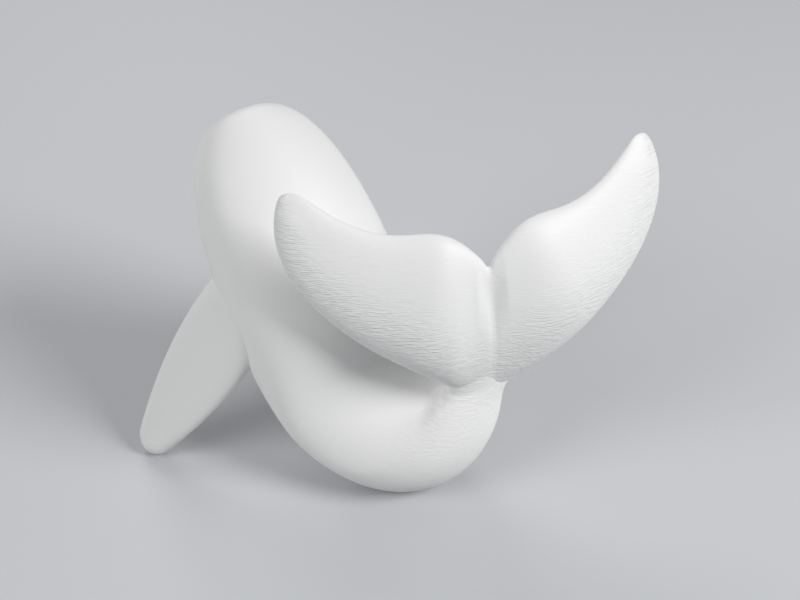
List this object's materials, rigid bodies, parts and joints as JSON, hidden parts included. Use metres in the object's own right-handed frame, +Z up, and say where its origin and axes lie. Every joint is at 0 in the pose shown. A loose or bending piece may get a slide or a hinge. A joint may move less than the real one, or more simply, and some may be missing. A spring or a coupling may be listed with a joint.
{
  "type": "whale figurine",
  "caption": "Plain white whale ornament that sits up on its flippers, its tail folded up behind and swung to one side, with thick flukes spread in a V.",
  "frame": {"origin": "middle of the flat under the rump, on the table", "axes": "+Z up, the head towards -Y, the whale's left towards +X"},
  "size_m": [0.0827, 0.0603, 0.0573],
  "materials": {
    "white_plastic": "matte white print with fine layer lines",
    "pin_wood": "plain round dowel, hidden in the joints",
    "eye_bead": "smooth dark bead"
  },
  "bodies": {
    "root": {"body": "white_plastic", "left_flipper": "white_plastic", "right_flipper": "white_plastic", "left_fluke": "white_plastic", "right_fluke": "white_plastic", "left_flipper_dowel": "pin_wood", "right_flipper_dowel": "pin_wood", "tail_dowel": "pin_wood", "fluke_cross_pin": "pin_wood", "left_eye": "eye_bead", "right_eye": "eye_bead"}
  },
  "joints": []
}
